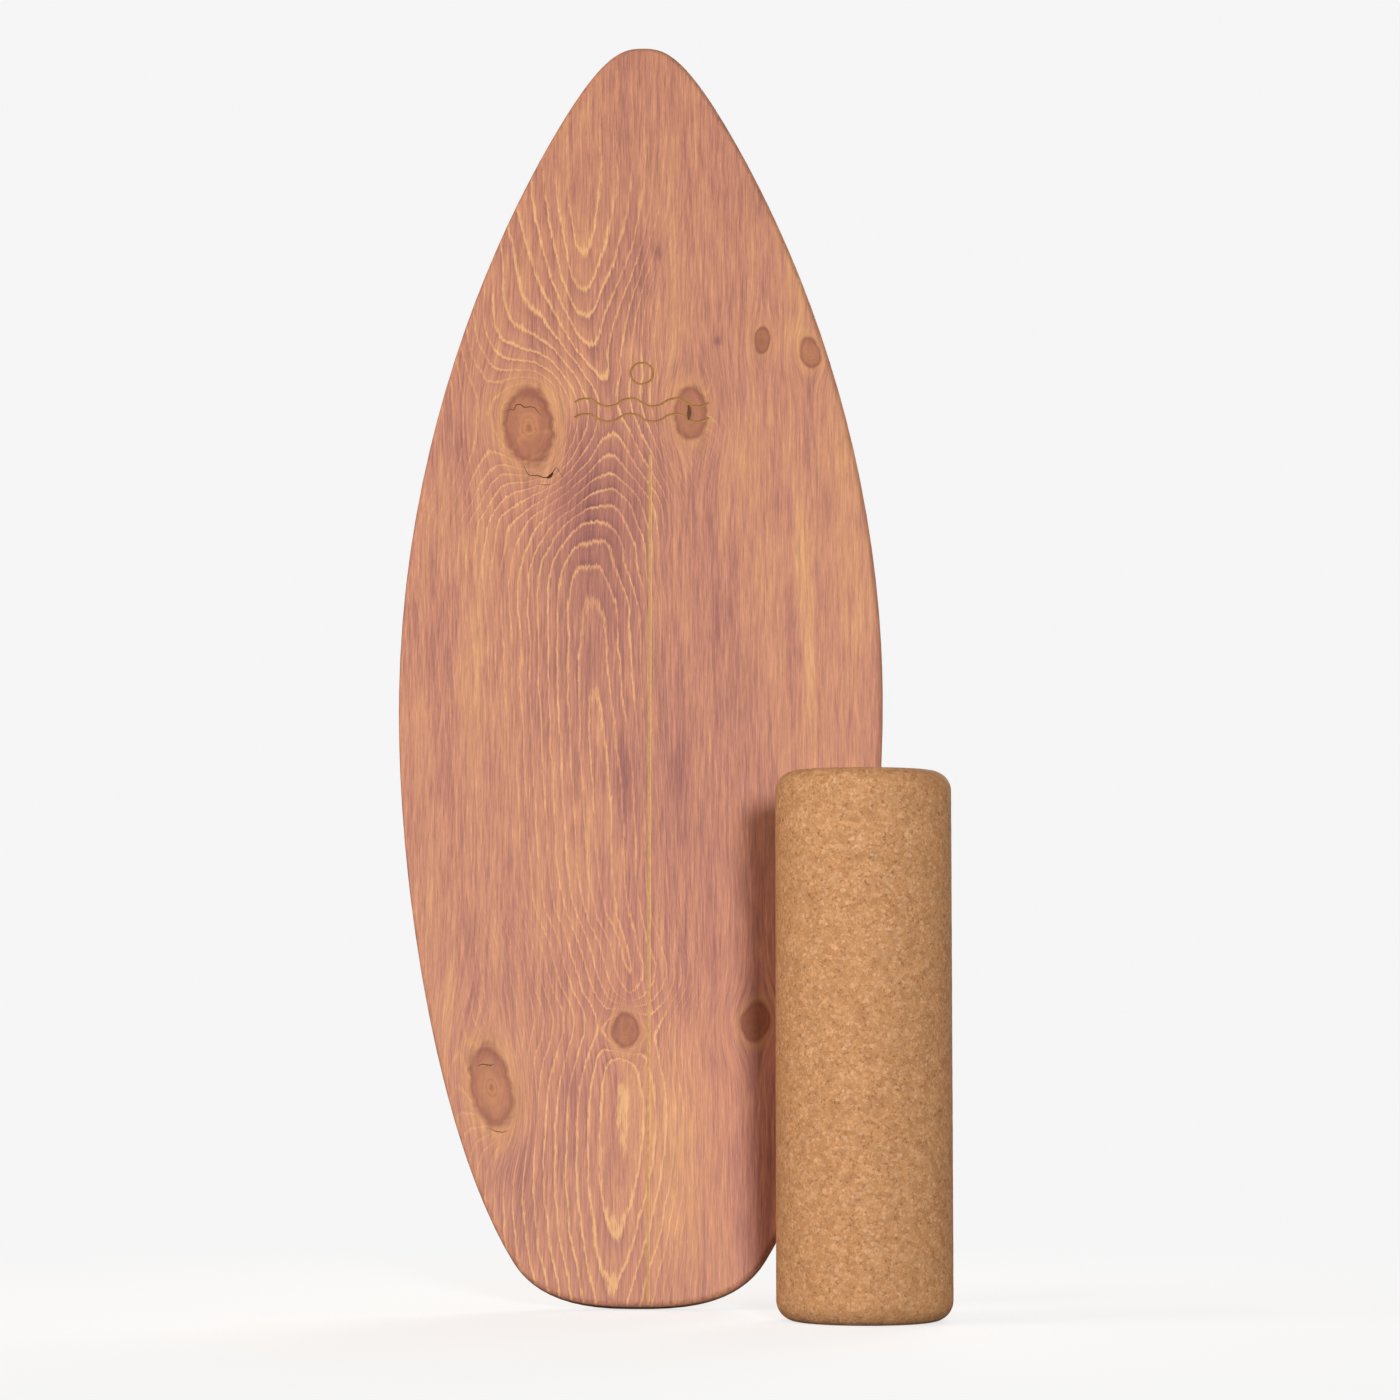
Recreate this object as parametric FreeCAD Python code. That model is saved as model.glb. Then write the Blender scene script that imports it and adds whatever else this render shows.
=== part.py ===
import FreeCAD, Part
import math
import os

# A roller balance board: a surf-shaped plywood board that leans on its tail, and the cork roller
# that it rides on, standing on its end in front of it.
#
# Millimetres. +Z is up, and the floor is z = 0. The origin is where the tail's back edge touches the
# floor, on the board's middle line. The deck, where the feet go, faces -Y.
#
# The board is drawn flat first, in its own frame: X across it, Z along it from the tail's end to the
# nose, and Y into its thickness, with the deck at y = 0. stand() then leans it back.

# ---- Driving dimensions ----
board_length = 800.0
board_half_width = 149.0
board_thickness = 18.0
edge_radius = 4.0              # round-over on both edges of the board
lean_deg = 9.0

ply_names = ("deck_face_veneer", "deck_side_crossband", "deck_side_long_ply", "core_crossband",
             "underside_long_ply", "underside_crossband", "underside_face_veneer")

# Right half of the outline, (across, up from the tail's end): four cubic Bezier curves, end to end.
# They meet at the nose's shoulder, at the widest place and at the corner of the squash tail.
nose_tip = (0.0, board_length)
nose_shoulder = (53.0, 747.0)
widest = (board_half_width, 376.0)
tail_corner = (75.5, 28.0)
tail_middle = (0.0, 0.0)
half_outline = (
    (nose_tip, (12.5, board_length), (24.5, 798.0), nose_shoulder),
    (nose_shoulder, (98.0, 666.5), (board_half_width, 533.0), widest),
    (widest, (board_half_width, 261.0), (122.0, 102.5), tail_corner),
    (tail_corner, (58.0, 0.0), (22.0, 0.0), tail_middle),
)

# The guide line, a V groove from the ornament down to the tail's end.
groove_offset = 5.5            # it lies this far to the right of the middle line
groove_top = 528.0
groove_width = 2.0
groove_depth = 1.0

# The ornament: a ring above two wave lines, routed with a small flat-ended cutter.
cutter_width = 1.6
ornament_depth = 0.8
ring_radius = 7.0
ring_height = 581.0
wave_heights = (562.0, 552.0)
half_waves = 6
half_wave_length = 14.0
wave_arc_deg = 80.0            # each half wave is an arc that turns this far

# Stops: two battens screwed to the underside, which keep the roller from running out.
stop_width = 20.0              # along the board
stop_depth = 20.0              # how far it stands off the underside
stop_edge_radius = 3.0
stops = (
    {"name": "nose_stop", "height": 690.0, "length": 116.0, "screw_pitch": 42.0},
    {"name": "tail_stop", "height": 80.0, "length": 160.0, "screw_pitch": 60.0},
)

# Countersunk wood screws, 4 x 30, three to a stop.
screw_radius = 2.0
screw_length = 30.0
screw_head_radius = 4.0
screw_head_height = 2.2
screw_tip_length = 4.0
recess_width = 1.0
recess_span = 4.4
recess_depth = 1.3

# Roller: agglomerated cork, turned from one solid block.
roller_radius = 51.0
roller_length = 316.0
roller_rim_radius = 12.0
roller_place = (131.0, -95.5)

ply_thickness = board_thickness / len(ply_names)
full_turn = 360.0


def outline_face(y):
    """The whole outline as a flat face at depth y: the four right-hand curves and their mirror."""
    edges = []
    for side in (1.0, -1.0):
        for poles in half_outline:
            curve = Part.BezierCurve()
            curve.setPoles([FreeCAD.Vector(side * across, y, up) for across, up in poles])
            edges.append(curve.toShape())
    return Part.Face(Part.Wire(Part.sortEdges(edges)[0]))


def rounded_board():
    """The glued-up board before routing: the outline through the full thickness, edges rounded."""
    board = outline_face(0.0).extrude(FreeCAD.Vector(0, board_thickness, 0))
    rims = []
    for edge in board.Edges:
        box = edge.BoundBox
        if box.YLength < 1e-6:
            rims.append(edge)
    return board.makeFillet(edge_radius, rims)


def groove_cutter():
    """The V groove's wedge, run out past the tail's end."""
    overrun = 5.0
    left = FreeCAD.Vector(groove_offset - groove_width / 2, 0, -overrun)
    right = FreeCAD.Vector(groove_offset + groove_width / 2, 0, -overrun)
    root = FreeCAD.Vector(groove_offset, groove_depth, -overrun)
    section = Part.Face(Part.makePolygon([left, right, root, left]))
    return section.extrude(FreeCAD.Vector(0, 0, groove_top + overrun))


def ring_sector(x, z, radius, start_deg, sweep_deg):
    """A stroke of the cutter along an arc, as deep as the ornament."""
    outer = Part.makeCylinder(radius + cutter_width / 2, ornament_depth, FreeCAD.Vector(0, 0, 0),
                              FreeCAD.Vector(0, 1, 0), sweep_deg)
    inner = Part.makeCylinder(radius - cutter_width / 2, ornament_depth, FreeCAD.Vector(0, 0, 0),
                              FreeCAD.Vector(0, 1, 0), sweep_deg)
    stroke = outer.cut(inner)
    stroke.rotate(FreeCAD.Vector(0, 0, 0), FreeCAD.Vector(0, 1, 0), start_deg)
    stroke.translate(FreeCAD.Vector(x, 0, z))
    return stroke


def wave_cutters(height):
    """One wave line: equal arcs, bulging up and down in turn, centred on the board's middle."""
    radius = half_wave_length / 2 / math.sin(math.radians(wave_arc_deg / 2))
    drop = radius * math.cos(math.radians(wave_arc_deg / 2))
    # makeCylinder about +Y starts at +Z and turns towards +X.
    strokes = []
    for index in range(half_waves):
        x = (index - (half_waves - 1) / 2) * half_wave_length
        bulges_up = index % 2 == 0
        start = -wave_arc_deg / 2 if bulges_up else 180.0 - wave_arc_deg / 2
        z = height - drop if bulges_up else height + drop
        strokes.append(ring_sector(x, z, radius, start, wave_arc_deg))
    return strokes


def ornament_cutters():
    """The ring and both wave lines."""
    cutters = [ring_sector(0.0, ring_height, ring_radius, 0.0, full_turn)]
    for height in wave_heights:
        cutters += wave_cutters(height)
    return cutters


def screw_places(stop):
    """Where a stop's three screws go, across the board."""
    return [offset * stop["screw_pitch"] for offset in (-1, 0, 1)]


def screw(x, height, with_recess):
    """One screw, head flush with the stop's outer face and its point towards the deck."""
    head_y = board_thickness + stop_depth
    inward = FreeCAD.Vector(0, -1, 0)
    shank_length = screw_length - screw_head_height - screw_tip_length
    head = Part.makeCone(screw_head_radius, screw_radius, screw_head_height,
                         FreeCAD.Vector(x, head_y, height), inward)
    shank = Part.makeCylinder(screw_radius, shank_length,
                              FreeCAD.Vector(x, head_y - screw_head_height, height), inward)
    tip = Part.makeCone(screw_radius, 0.0, screw_tip_length,
                        FreeCAD.Vector(x, head_y - screw_head_height - shank_length, height), inward)
    body = head.fuse([shank, tip]).removeSplitter()
    if not with_recess:
        return body
    for wide, tall in ((recess_span, recess_width), (recess_width, recess_span)):
        slot = Part.makeBox(wide, recess_depth, tall,
                            FreeCAD.Vector(x - wide / 2, head_y - recess_depth, height - tall / 2))
        body = body.cut(slot)
    return body


def all_screw_holes():
    """The solids that every screw fills, to be cut from the stops and the plies."""
    return [screw(x, stop["height"], False) for stop in stops for x in screw_places(stop)]


def plies():
    """The seven plies, cut from the rounded board layer by layer, with what is routed and drilled."""
    board = rounded_board()
    spare = 10.0
    made = {}
    for index, name in enumerate(ply_names):
        layer = Part.makeBox(2 * (board_half_width + spare), ply_thickness, board_length + 2 * spare,
                             FreeCAD.Vector(-board_half_width - spare, index * ply_thickness, -spare))
        ply = board.common(layer)
        if index == 0:
            ply = ply.cut([groove_cutter()] + ornament_cutters())
        made[name] = ply.cut(all_screw_holes())
    return made


def stop_batten(stop):
    """One batten, its outer edges and corners rounded, drilled and countersunk for its screws."""
    batten = Part.makeBox(stop["length"], stop_depth, stop_width,
                          FreeCAD.Vector(-stop["length"] / 2, board_thickness,
                                         stop["height"] - stop_width / 2))
    glued = board_thickness + 1e-6
    outer_edges = [edge for edge in batten.Edges if edge.BoundBox.YMax > glued]
    batten = batten.makeFillet(stop_edge_radius, outer_edges)
    return batten.cut(all_screw_holes())


def roller():
    """The roller, standing on its end: a rectangle with rounded outer corners, turned about Z."""
    r = roller_rim_radius
    low = FreeCAD.Vector(roller_radius - r, 0, r)
    high = FreeCAD.Vector(roller_radius - r, 0, roller_length - r)
    corner = math.sin(math.radians(45)) * r
    points = {
        "axis_low": FreeCAD.Vector(0, 0, 0),
        "flat_low": FreeCAD.Vector(roller_radius - r, 0, 0),
        "rim_low": low + FreeCAD.Vector(corner, 0, -corner),
        "side_low": FreeCAD.Vector(roller_radius, 0, r),
        "side_high": FreeCAD.Vector(roller_radius, 0, roller_length - r),
        "rim_high": high + FreeCAD.Vector(corner, 0, corner),
        "flat_high": FreeCAD.Vector(roller_radius - r, 0, roller_length),
        "axis_high": FreeCAD.Vector(0, 0, roller_length),
    }
    edges = [
        Part.makeLine(points["axis_low"], points["flat_low"]),
        Part.Arc(points["flat_low"], points["rim_low"], points["side_low"]).toShape(),
        Part.makeLine(points["side_low"], points["side_high"]),
        Part.Arc(points["side_high"], points["rim_high"], points["flat_high"]).toShape(),
        Part.makeLine(points["flat_high"], points["axis_high"]),
        Part.makeLine(points["axis_high"], points["axis_low"]),
    ]
    profile = Part.Face(Part.Wire(edges))
    turned = profile.revolve(FreeCAD.Vector(0, 0, 0), FreeCAD.Vector(0, 0, 1), full_turn)
    turned.translate(FreeCAD.Vector(roller_place[0], roller_place[1], 0))
    return turned


def stand(shape):
    """Lean a flat-drawn piece back and set the tail's rounded back edge on the floor at the origin."""
    lean = math.radians(lean_deg)
    round_y = board_thickness - edge_radius
    round_z = edge_radius
    foot_y = round_y * math.cos(lean) + round_z * math.sin(lean)
    foot_z = -round_y * math.sin(lean) + round_z * math.cos(lean) - edge_radius
    placed = shape.copy()
    placed.rotate(FreeCAD.Vector(0, 0, 0), FreeCAD.Vector(1, 0, 0), -lean_deg)
    placed.translate(FreeCAD.Vector(0, -foot_y, -foot_z))
    return placed


def main():
    os.makedirs("parts", exist_ok=True)
    nodes = {name: stand(ply) for name, ply in plies().items()}
    for stop in stops:
        nodes[stop["name"]] = stand(stop_batten(stop))
        screws = [screw(x, stop["height"], True) for x in screw_places(stop)]
        nodes[stop["name"] + "_screws"] = stand(Part.makeCompound(screws))
    nodes["cork_roller"] = roller()
    for name, shape in nodes.items():
        shape.exportStep("parts/" + name + ".step")
        box = shape.BoundBox
        print(name, shape.isValid(), len(shape.Solids), round(shape.Volume),
              [round(v, 2) for v in (box.XMin, box.XMax, box.YMin, box.YMax, box.ZMin, box.ZMax)])


main()
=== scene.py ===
"""The looks of a roller balance board: a stained softwood plywood board that leans on its tail, and
its cork roller, standing on end. Metres, +Z up, floor at z = 0; the deck faces -Y."""

import math

import bmesh
import bpy
import numpy as np
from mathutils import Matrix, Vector


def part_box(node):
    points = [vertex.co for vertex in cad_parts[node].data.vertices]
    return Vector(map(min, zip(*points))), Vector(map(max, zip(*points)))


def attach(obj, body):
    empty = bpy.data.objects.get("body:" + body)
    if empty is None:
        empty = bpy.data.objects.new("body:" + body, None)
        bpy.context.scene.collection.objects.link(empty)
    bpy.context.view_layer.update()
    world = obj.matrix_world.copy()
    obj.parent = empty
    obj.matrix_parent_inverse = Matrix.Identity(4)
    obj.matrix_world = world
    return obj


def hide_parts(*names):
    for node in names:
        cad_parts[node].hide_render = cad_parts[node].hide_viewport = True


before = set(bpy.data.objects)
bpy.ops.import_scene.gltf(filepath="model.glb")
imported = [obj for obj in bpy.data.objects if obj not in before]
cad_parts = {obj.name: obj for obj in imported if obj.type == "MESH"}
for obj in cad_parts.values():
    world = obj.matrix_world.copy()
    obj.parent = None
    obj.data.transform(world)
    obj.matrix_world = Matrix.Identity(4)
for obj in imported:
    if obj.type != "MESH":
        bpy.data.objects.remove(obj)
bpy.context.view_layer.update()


# ---- Deck face veneer ---------------------------------------------------------------------------
# The sheet that the feet stand on: rotary-peeled pine, stained red-brown and oiled. Its edge is
# rounded with a router, and a V line and an ornament are routed through the stain into bare wood.

MM = 0.001
BOARD_LENGTH = 800.0
BOARD_HALF_WIDTH = 149.0
BOARD_THICKNESS = 18.0
PLY_THICKNESS = BOARD_THICKNESS / 7
EDGE_RADIUS = 4.0
LEAN = math.radians(9.0)

# The outline's right half, nose to tail, as in the CAD model: (across, up from the tail's end), mm.
NOSE_SHOULDER = (53.0, 747.0)
WIDEST = (BOARD_HALF_WIDTH, 376.0)
TAIL_CORNER = (75.5, 28.0)
SIDE_CURVES = (
    ((0.0, BOARD_LENGTH), (12.5, BOARD_LENGTH), (24.5, 798.0), NOSE_SHOULDER),
    (NOSE_SHOULDER, (98.0, 666.5), (BOARD_HALF_WIDTH, 533.0), WIDEST),
    (WIDEST, (BOARD_HALF_WIDTH, 261.0), (122.0, 102.5), TAIL_CORNER),
)
TAIL_CURVE = (TAIL_CORNER, (58.0, 0.0), (22.0, 0.0), (0.0, 0.0))


def bezier(poles, count):
    """Points on a cubic Bezier curve and its unit normals to the right of travel: the Bernstein sum
    of the four poles, and its derivative turned by a quarter."""
    p = np.array(poles, float)
    t = np.linspace(0.0, 1.0, count)[:, None]
    point = (1 - t) ** 3 * p[0] + 3 * (1 - t) ** 2 * t * p[1] + 3 * (1 - t) * t ** 2 * p[2] + t ** 3 * p[3]
    along = (1 - t) ** 2 * (p[1] - p[0]) + 2 * (1 - t) * t * (p[2] - p[1]) + t ** 2 * (p[3] - p[2])
    along /= np.linalg.norm(along, axis=1, keepdims=True)
    return point, np.column_stack([along[:, 1], -along[:, 0]])


def stand(points):
    """Flat-drawn board points (across, depth from the deck, up from the tail), mm, set in place in
    metres: turned back by the lean, then dropped until the tail's rounded back edge is on z = 0."""
    round_y = BOARD_THICKNESS - EDGE_RADIUS
    foot_y = round_y * math.cos(LEAN) + EDGE_RADIUS * math.sin(LEAN)
    foot_z = EDGE_RADIUS * math.cos(LEAN) - round_y * math.sin(LEAN) - EDGE_RADIUS
    x, y, z = points.T
    back = y * math.cos(LEAN) + z * math.sin(LEAN) - foot_y
    up = z * math.cos(LEAN) - y * math.sin(LEAN) - foot_z
    return np.column_stack([x, back, up]) * MM


def new_mesh(name, points, faces, merge=1e-4):
    """A mesh object from points and faces, doubles merged and faces turned outwards."""
    mesh = bpy.data.meshes.new(name)
    mesh.from_pydata(points.tolist(), [], faces)
    build = bmesh.new()
    build.from_mesh(mesh)
    bmesh.ops.remove_doubles(build, verts=build.verts, dist=merge)
    bmesh.ops.recalc_face_normals(build, faces=build.faces)
    build.to_mesh(mesh)
    build.free()
    made = bpy.data.objects.new(name, mesh)
    bpy.context.scene.collection.objects.link(made)
    return made


def grid_faces(rows, columns, start=0):
    """Quads between neighbouring rows and columns of a grid whose points are numbered row by row."""
    i = np.arange(rows - 1)[:, None] * columns + np.arange(columns - 1)[None, :] + start
    return np.stack([i, i + 1, i + columns + 1, i + columns], -1).reshape(-1, 4).tolist()


ROWS = 330                     # 2.4 mm apart
INNER_COLUMNS = 51
OUTER_COLUMNS = 52
INNER_HALF = 46.0              # columns keep their places this far out, and spread past it
NARROW_HALF = 60.0             # where the board is narrower than this, they all draw in
RIM_STEPS = 7
TAIL_BLEND = 80.0              # the rows start to follow the tail this far up
CURVE_POINTS = 400


def face_veneer(name, deck_side):
    """An outer ply: a flat face, a rim that follows the routed quarter round, and a flat glue face.
    The flat face is a grid: row i runs between the two sides of the inset outline at one height, and
    the last rows sag by a smooth step until they follow the tail's edge. The rim's point k is the
    outline moved inwards by r - r sin a at depth r - r cos a."""
    dense = [bezier(poles, CURVE_POINTS) for poles in SIDE_CURVES]
    side = np.concatenate([d[0] for d in dense])
    normal = np.concatenate([d[1] for d in dense])
    inset_side = side + normal * EDGE_RADIUS
    walked = np.concatenate([[0.0], np.cumsum(np.linalg.norm(np.diff(inset_side, axis=0), axis=1))])
    stops = np.linspace(0.0, walked[-1], ROWS)
    side = np.column_stack([np.interp(stops, walked, side[:, k]) for k in (0, 1)])
    normal = np.column_stack([np.interp(stops, walked, normal[:, k]) for k in (0, 1)])
    tail, tail_normal = bezier(TAIL_CURVE, CURVE_POINTS)
    inset_tail = tail + tail_normal * EDGE_RADIUS
    last_angle = math.acos(1 - PLY_THICKNESS / EDGE_RADIUS)
    angle = np.linspace(0.0, last_angle, RIM_STEPS)
    rim_in = EDGE_RADIUS * (1 - np.sin(angle))
    rim_depth = EDGE_RADIUS * (1 - np.cos(angle))

    edge = side + normal * EDGE_RADIUS
    half = edge[:, 0:1]
    inner = np.linspace(-INNER_HALF, INNER_HALF, INNER_COLUMNS)[None, :] * np.minimum(1.0, half / NARROW_HALF)
    share = np.linspace(0.0, 1.0, OUTER_COLUMNS + 1)[None, 1:]
    outer = inner[:, -1:] + (half - inner[:, -1:]) * share
    across = np.concatenate([-outer[:, ::-1], inner, outer], axis=1)
    step = np.clip((edge[-1, 1] + TAIL_BLEND - edge[:, 1:2]) / TAIL_BLEND, 0.0, 1.0)
    step = step * step * (3 - 2 * step)
    tail_height = np.interp(np.abs(across), inset_tail[::-1, 0], inset_tail[::-1, 1])
    up = edge[:, 1:2] + step * (tail_height - edge[-1, 1])
    columns = across.shape[1]
    points = [np.column_stack([across.ravel(), np.zeros(across.size), up.ravel()])]
    faces = grid_faces(ROWS, columns)
    count = across.size

    stations = np.arange(float(CURVE_POINTS))
    along = np.interp(np.abs(across[-1]), inset_tail[::-1, 0], stations[::-1])
    tail_at = np.column_stack([np.interp(along, stations, tail[:, k]) for k in (0, 1)])
    tail_in = np.column_stack([np.interp(along, stations, tail_normal[:, k]) for k in (0, 1)])
    mirror = np.sign(across[-1])[:, None] * np.array([1.0, 0.0]) + np.array([0.0, 1.0])
    rims = ((side, normal), (side * [-1, 1], normal * [-1, 1]), (tail_at * mirror, tail_in * mirror))
    loops = []
    for line, inward in rims:
        shifted = line[:, None, :] + inward[:, None, :] * rim_in[None, :, None]
        depth = np.broadcast_to(rim_depth, shifted.shape[:2])
        points.append(np.column_stack([shifted[..., 0].ravel(), depth.ravel(), shifted[..., 1].ravel()]))
        faces += grid_faces(len(line), RIM_STEPS, count)
        loops.append(count + np.arange(len(line)) * RIM_STEPS + RIM_STEPS - 1)
        count += shifted.shape[0] * RIM_STEPS
    right, left, bottom = loops
    faces.append(np.concatenate([right, bottom[::-1][1:-1], left[::-1][:-1]]).tolist())
    points = np.concatenate(points)
    if not deck_side:
        points[:, 1] = BOARD_THICKNESS - points[:, 1]
    return new_mesh(name, points, faces)


def stroke(path, profile, closed=False, widths=1.0):
    """A router cut as a closed solid: the profile (sideways, depth) carried along a flat path
    (across, up). Each ring of points is the path's point moved sideways along the path's normal,
    times the width there."""
    ahead = np.roll(path, -1, axis=0) - np.roll(path, 1, axis=0)
    if not closed:
        ahead[0] = path[1] - path[0]
        ahead[-1] = path[-1] - path[-2]
    ahead /= np.linalg.norm(ahead, axis=1, keepdims=True)
    sideways = np.column_stack([ahead[:, 1], -ahead[:, 0]])
    profile = np.array(profile)
    sideways = sideways * np.reshape(widths, (-1, 1))
    flat = path[:, None, :] + sideways[:, None, :] * profile[None, :, 0:1]
    depth = np.broadcast_to(profile[:, 1], flat.shape[:2])
    points = np.column_stack([flat[..., 0].ravel(), depth.ravel(), flat[..., 1].ravel()])
    size = len(profile)
    i = np.arange(len(path) if closed else len(path) - 1)[:, None]
    j = np.arange(size)[None, :]
    after = (i + 1) % len(path)
    quads = np.stack([i * size + j, i * size + (j + 1) % size,
                      after * size + (j + 1) % size, after * size + j], -1)
    faces = quads.reshape(-1, 4).tolist()
    if not closed:
        faces += [list(range(size)), list(range(len(path) * size - size, len(path) * size))]
    return points, faces


def cut(piece, cutters, cutter_material):
    """Subtracts closed solids from a piece. The cut faces take the cutter's material slot."""
    for points, faces in cutters:
        cutter = new_mesh("router_cut", points, faces)
        for slot in list(piece.data.materials):
            cutter.data.materials.append(slot)
        index = list(piece.data.materials).index(cutter_material)
        cutter.data.polygons.foreach_set("material_index", [index] * len(cutter.data.polygons))
        boolean = piece.modifiers.new("cut", "BOOLEAN")
        boolean.operation = "DIFFERENCE"
        boolean.solver = "EXACT"
        boolean.object = cutter
        bpy.context.view_layer.update()
        shaped = bpy.data.meshes.new_from_object(piece.evaluated_get(bpy.context.evaluated_depsgraph_get()))
        piece.modifiers.clear()
        piece.data = shaped
        bpy.data.objects.remove(cutter)


WELD_REACH = 0.005             # mm


def weld(piece):
    """Joins the corners that the flat faces and the rounded rim both bring, to close the skin."""
    build = bmesh.new()
    build.from_mesh(piece.data)
    bmesh.ops.remove_doubles(build, verts=build.verts, dist=WELD_REACH)
    build.to_mesh(piece.data)
    build.free()


def arc(centre, radius, start, sweep, count=24):
    """Points on a circle's arc, by angle in degrees from straight up towards +X."""
    turn = np.radians(np.linspace(start, start + sweep, count))
    return np.column_stack([centre[0] + radius * np.sin(turn), centre[1] + radius * np.cos(turn)])


GROOVE_OFFSET = 5.5            # to the right of the middle
GROOVE_TOP = 528.0
CUTTER_WIDTH = 1.6             # the ornament's lines
ORNAMENT_DEPTH = 0.8
HALF_WAVES = 6
HALF_WAVE_LENGTH = 14.0
WAVE_ARC = 80.0                # degrees of circle in each half wave
RING_CENTRE = (0.0, 581.0)
RING_RADIUS = 7.0


def wave(height):
    """A wave line: equal arcs that bulge up and down in turn, joined tangent to tangent."""
    radius = HALF_WAVE_LENGTH / 2 / math.sin(math.radians(WAVE_ARC / 2))
    drop = radius * math.cos(math.radians(WAVE_ARC / 2))
    pieces = []
    for index in range(HALF_WAVES):
        x = (index - (HALF_WAVES - 1) / 2) * HALF_WAVE_LENGTH
        if index % 2 == 0:
            piece = arc((x, height - drop), radius, -WAVE_ARC / 2, WAVE_ARC)
        else:
            piece = arc((x, height + drop), radius, 180 + WAVE_ARC / 2, -WAVE_ARC)
        pieces.append(piece[:-1] if index < HALF_WAVES - 1 else piece)
    return np.concatenate(pieces)


V_PROFILE = [(-2.0, -1.0), (2.0, -1.0), (0.0, 1.0)]
FLAT_PROFILE = [(-CUTTER_WIDTH / 2, -1.0), (CUTTER_WIDTH / 2, -1.0),
                (CUTTER_WIDTH / 2 - 0.2, ORNAMENT_DEPTH), (0.2 - CUTTER_WIDTH / 2, ORNAMENT_DEPTH)]
groove = stroke(np.array([(GROOVE_OFFSET, GROOVE_TOP), (GROOVE_OFFSET, -5.0)]), V_PROFILE)
marks = [
    stroke(arc(RING_CENTRE, RING_RADIUS, 0.0, 357.5, 144), FLAT_PROFILE, closed=True),
    stroke(wave(562.0), FLAT_PROFILE),
    stroke(wave(552.0), FLAT_PROFILE),
]

# Drying cracks in and under the knots: the largest knot's has a little hole where bark fell out.
CRACK_PROFILE = [(-1.0, -0.5), (1.0, -0.5), (0.5, 0.0), (0.0, 0.9), (-0.5, 0.0)]


def crack(points, width):
    """A crack as a cutter: a wedge along a jagged line, whose width swells as a sine from a quarter
    at its ends to the given width in the middle."""
    path = np.array(points, float)
    along = np.linspace(0.0, 1.0, len(path))
    swell = 0.25 + 0.75 * np.sin(math.pi * along)
    return stroke(path, CRACK_PROFILE, widths=swell * width)


cracks = [
    crack([(-84.5, 556.5), (-82.5, 557.5), (-80, 557), (-78.5, 560.5), (-76, 560.8), (-73.5, 558.8),
           (-70, 559.2), (-67, 558.6), (-65, 556), (-63, 553.5)], 0.55),
    crack([(-73.5, 521.5), (-72, 517), (-70, 514.6), (-65, 514.4), (-61, 513), (-58, 513.4),
           (-55.5, 516.5), (-53.2, 519.8), (-51.5, 517.4), (-49.5, 514.2)], 0.6),
    crack([(-59, 512.6), (-57.5, 513.5), (-56.2, 514.8), (-55, 516)], 2.2),
    crack([(-65, 508.8), (-60, 508.2), (-55.5, 509)], 0.35),
    crack([(29.2, 550.7), (29.8, 555.3), (29.4, 560.2)], 1.2),
    crack([(-98, 144), (-94.5, 145.2), (-90, 144.4), (-87.5, 145)], 0.5),
    crack([(-90, 106.5), (-86, 104.6), (-82, 104), (-78, 105.5)], 0.45),
]


# The veneer's figure, in millimetres on the flat board. Knots: (across, up, half width, half height,
# lean of the long axis in degrees to the left, rings by which the branch lifts the wood round it).
DECK_KNOTS = ((-70.5, 546.5, 16, 25.5, 8, 3.6), (30.5, 555, 10.5, 18, 0, 2.0), (75.5, 603, 5, 9.5, -5, 1.5),
              (105.5, 594.5, 6.5, 11, 10, 1.5), (-8.5, 165.5, 8.5, 11, 0, 2.5), (70, 171, 9, 12.5, -12, 1.5),
              (-89, 131.5, 12.5, 26, 12, 3.0))
# The middle of the cathedral figure: (up, across).
DECK_HEART = ((0, -15.5), (46, -13), (90, -10), (120, -9), (150, -10), (165, -8.5), (185, -6), (200, -6),
              (220, -11), (240, -18), (262, -21), (300, -23), (340, -26), (374, -28), (434, -29),
              (456, -30.5), (472, -27.5), (484, -26), (495, -22), (515, -19), (542, -18), (560, -20),
              (579, -24), (600, -31), (619, -35), (663, -36.5), (700, -37), (800, -37))
# Growth rings that the surface has cut into at that middle: (up, rings).
DECK_CREST = ((0, 2.25), (5, 2.12), (11, 2), (17, 1.88), (28, 1.5), (39, 1.18), (46, 1), (54, 0.86),
              (68, 0.5), (85, 0.2), (112, 0.04), (135, 0.12), (150, 0.25), (165, 0.4), (178, -0.2),
              (190, -1.4), (200, -2), (220, -2.2), (240, -2.4), (262, -2.5), (300, -2.55), (340, -2.5),
              (374, -2), (405, -1.4), (434, -1), (456, 0), (472, 1), (484.5, 2), (495, 3), (505.5, 4),
              (515, 5), (527.5, 6), (542, 7), (558, 7.6), (570, 7.4), (579, 7), (600, 6), (619, 5),
              (636, 4), (663, 3), (690, 2.5), (720, 2.4), (800, 2.4))
# How far out to the left the crest still lifts the rings: (up, distance).
DECK_REACH = ((0, 90), (400, 70), (470, 58), (505, 50), (541, 52), (565, 56), (590, 50), (620, 43),
              (660, 41), (800, 44))
RIGHT_REACH = 92.0             # and to the right
KNOT_PUSH = 2.9                # squared radius, in rims, over which a knot bends the fibres
KNOT_LIFT = 1.3                # and over which it lifts the rings
PLAIN_LEFT = 84.0              # lines fade out this far to the left of the middle
PLAIN_RIGHT = 52.0             # and to the right
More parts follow.
